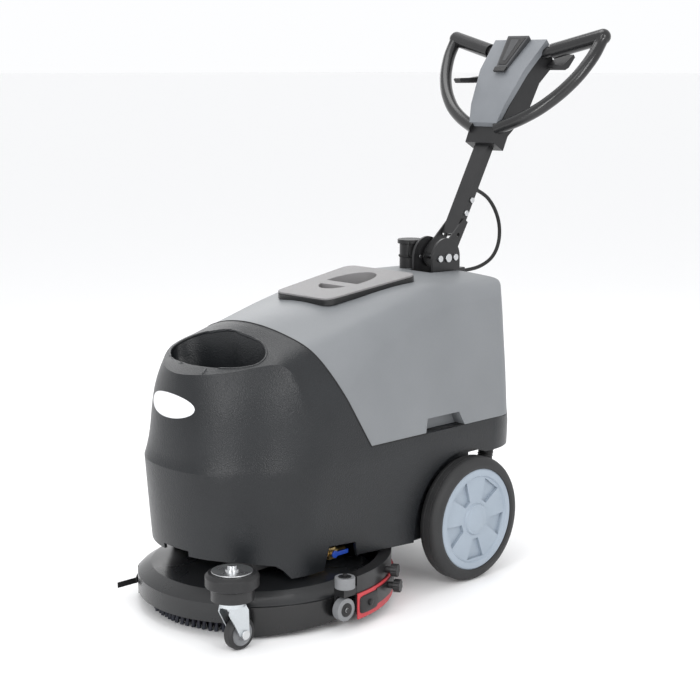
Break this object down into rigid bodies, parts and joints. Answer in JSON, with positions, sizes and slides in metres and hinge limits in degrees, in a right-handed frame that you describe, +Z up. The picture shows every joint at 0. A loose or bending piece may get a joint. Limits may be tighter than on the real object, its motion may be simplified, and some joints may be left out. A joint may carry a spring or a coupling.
{
  "type": "floor scrubber",
  "caption": "Walk-behind floor scrubber with a round brush deck, parabolic squeegee, lift-off recovery tank, big rear wheels and a folding loop handle.",
  "frame": {"origin": "on the floor under the brush spindle", "axes": "+X to the operator's left, -Y the way the machine drives, +Z up"},
  "size_m": [0.548, 1.0855, 1.0975],
  "materials": {
    "moulded_grey": "rotomoulded charcoal polyethylene, fine pebble grain",
    "tank_grey": "rotomoulded grey polyethylene, satin",
    "lid_grey": "textured grey plastic",
    "black_plastic": "textured black plastic",
    "gloss_black": "glossy black",
    "deck_paint": "charcoal paint on cast aluminium",
    "black_paint": "black powder coat",
    "seal_rubber": "black rubber",
    "red_blade": "red squeegee rubber",
    "skirt_rubber": "black rubber",
    "tyre": "dark grey rubber",
    "wheel_plastic": "light blue-grey plastic",
    "roller_plastic": "light grey plastic",
    "bright_steel": "zinc-plated steel",
    "squeegee_metal": "black-coated aluminium",
    "knob_plastic": "black plastic",
    "bristle": "polypropylene bristle",
    "brush_plate": "dark plastic",
    "motor_paint": "motor paint",
    "battery_case": "battery case",
    "brass_fitting": "brass",
    "blue_plastic": "blue plastic",
    "hose_plastic": "dark ribbed hose",
    "cable_sheath": "black cable sheath"
  },
  "bodies": {
    "chassis": {"rear_axle": "bright_steel", "chassis_frame": "black_paint", "lower_body": "moulded_grey", "fill_strainer": "black_plastic", "brush_deck": "deck_paint", "splash_skirt": "skirt_rubber", "skirt_strap": "skirt_rubber", "brush_motor": "motor_paint", "vacuum_motor": "motor_paint", "batteries": "battery_case", "solution_valve": "brass_fitting", "caster_arm": "black_paint", "bumper_bolt": "bright_steel", "caster_race": "bright_steel", "handle_column": "black_paint", "handle_bracket": "black_paint", "bracket_bolts": "bright_steel", "suction_elbow": "black_plastic", "suction_hose": "hose_plastic", "control_cable": "cable_sheath"},
    "wheel_left_body": {"wheel_left": "wheel_plastic", "tyre_left": "tyre"},
    "wheel_right_body": {"wheel_right": "wheel_plastic", "tyre_right": "tyre"},
    "tank": {"recovery_tank": "tank_grey", "filter_cup": "black_plastic"},
    "lid": {"tank_lid": "lid_grey", "lid_seal": "seal_rubber"},
    "cap": {"cup_cap": "black_plastic"},
    "brush": {"brush_block": "brush_plate", "brush_bristles": "bristle", "brush_driver": "brush_plate"},
    "valve": {"valve_lever": "blue_plastic"},
    "bumper": {"bumper_roller": "roller_plastic"},
    "caster": {"caster_fork": "bright_steel", "caster_axle": "bright_steel"},
    "caster_wheel": {"caster_tyre": "tyre", "caster_hub": "roller_plastic"},
    "squeegee": {"squeegee_hanger": "squeegee_metal", "squeegee_body": "squeegee_metal", "front_blade": "seal_rubber", "rear_blade": "red_blade", "blade_strap": "bright_steel"},
    "side_roller_left_body": {"side_roller_left": "roller_plastic"},
    "side_roller_right_body": {"side_roller_right": "roller_plastic"},
    "support_left": {"support_wheel_left": "roller_plastic"},
    "support_right": {"support_wheel_right": "roller_plastic"},
    "knob_left_upper": {"clamp_knob_left_upper": "knob_plastic"},
    "knob_left_lower": {"clamp_knob_left_lower": "knob_plastic"},
    "knob_right_upper": {"clamp_knob_right_upper": "knob_plastic"},
    "knob_right_lower": {"clamp_knob_right_lower": "knob_plastic"},
    "handle": {"handle_post": "black_paint", "post_bolts": "bright_steel", "head_housing": "black_plastic", "head_cover": "tank_grey", "control_panel": "black_plastic", "handle_loops": "gloss_black"},
    "paddle_left_body": {"paddle_left": "black_plastic"},
    "paddle_right_body": {"paddle_right": "black_plastic"},
    "lever": {"finger_lever": "black_plastic"}
  },
  "joints": [
    {"name": "wheel_left_spin", "type": "hinge", "parent": "chassis", "child": "wheel_left_body", "pos_m": [0.211, 0.382, 0.1265], "axis": [1, 0, 0], "continuous": true},
    {"name": "wheel_right_spin", "type": "hinge", "parent": "chassis", "child": "wheel_right_body", "pos_m": [-0.211, 0.382, 0.1265], "axis": [1, 0, 0], "continuous": true},
    {"name": "brush_spin", "type": "hinge", "parent": "chassis", "child": "brush", "pos_m": [0, 0, 0.06], "axis": [0, 0, 1], "continuous": true},
    {"name": "bumper_roller_spin", "type": "hinge", "parent": "chassis", "child": "bumper", "pos_m": [0.187, -0.218, 0.13], "axis": [0, 0, 1], "continuous": true},
    {"name": "caster_swivel", "type": "hinge", "parent": "chassis", "child": "caster", "pos_m": [0.187, -0.218, 0.086], "axis": [0, 0, 1], "continuous": true},
    {"name": "caster_wheel_spin", "type": "hinge", "parent": "caster", "child": "caster_wheel", "pos_m": [0.187, -0.204, 0.03], "axis": [1, 0, 0], "continuous": true},
    {"name": "tank_lift", "type": "slide", "parent": "chassis", "child": "tank", "axis": [0, 0, 1], "range_m": [0, 0.36]},
    {"name": "lid_lift", "type": "slide", "parent": "tank", "child": "lid", "axis": [0, -0.1324, 0.9912], "range_m": [0, 0.12]},
    {"name": "cap_lift", "type": "slide", "parent": "tank", "child": "cap", "axis": [0, 0, 1], "range_m": [0, 0.05]},
    {"name": "valve_turn", "type": "hinge", "parent": "chassis", "child": "valve", "pos_m": [0.174, 0.044, 0.116], "axis": [1, 0, 0], "range_deg": [0, 90]},
    {"name": "squeegee_lift", "type": "slide", "parent": "chassis", "child": "squeegee", "axis": [0, 0, -1], "range_m": [0, 0.0165], "deforming": ["suction_hose"]},
    {"name": "side_roller_left_spin", "type": "hinge", "parent": "squeegee", "child": "side_roller_left_body", "pos_m": [0.255, -0.008, 0.093], "axis": [0, 0, 1], "continuous": true},
    {"name": "side_roller_right_spin", "type": "hinge", "parent": "squeegee", "child": "side_roller_right_body", "pos_m": [-0.255, -0.008, 0.093], "axis": [0, 0, 1], "continuous": true},
    {"name": "support_wheel_left_spin", "type": "hinge", "parent": "squeegee", "child": "support_left", "pos_m": [0.2515, -0.008, 0.041], "axis": [1, 0, 0], "continuous": true},
    {"name": "support_wheel_right_spin", "type": "hinge", "parent": "squeegee", "child": "support_right", "pos_m": [-0.2515, -0.008, 0.041], "axis": [1, 0, 0], "continuous": true},
    {"name": "handle_fold", "type": "hinge", "parent": "chassis", "child": "handle", "pos_m": [0, 0.51, 0.625], "axis": [-1, 0, 0], "range_deg": [-110, 0], "deforming": ["control_cable"]},
    {"name": "paddle_left_press", "type": "hinge", "parent": "handle", "child": "paddle_left_body", "pos_m": [0.09, 0.784, 1.018], "axis": [1, 0, 0], "range_deg": [0, 12], "stiffness_Nm_per_rad": 0.6},
    {"name": "paddle_right_press", "type": "hinge", "parent": "handle", "child": "paddle_right_body", "pos_m": [-0.09, 0.784, 1.018], "axis": [1, 0, 0], "range_deg": [0, 12], "stiffness_Nm_per_rad": 0.6},
    {"name": "lever_pull", "type": "hinge", "parent": "handle", "child": "lever", "pos_m": [-0.078, 0.722, 0.9915], "axis": [1, 0, 0], "range_deg": [0, 15], "stiffness_Nm_per_rad": 0.5},
    {"name": "knob_left_upper_turn", "type": "hinge", "parent": "squeegee", "child": "knob_left_upper", "pos_m": [0.24281, 0.1291, 0.082], "axis": [0.8829, 0.4695, 0], "range_deg": [0, 360]},
    {"name": "knob_left_lower_turn", "type": "hinge", "parent": "squeegee", "child": "knob_left_lower", "pos_m": [0.24281, 0.1291, 0.052], "axis": [0.8829, 0.4695, 0], "range_deg": [0, 360]},
    {"name": "knob_right_upper_turn", "type": "hinge", "parent": "squeegee", "child": "knob_right_upper", "pos_m": [-0.24281, 0.1291, 0.082], "axis": [-0.8829, 0.4695, 0], "range_deg": [0, 360]},
    {"name": "knob_right_lower_turn", "type": "hinge", "parent": "squeegee", "child": "knob_right_lower", "pos_m": [-0.24281, 0.1291, 0.052], "axis": [-0.8829, 0.4695, 0], "range_deg": [0, 360]}
  ]
}
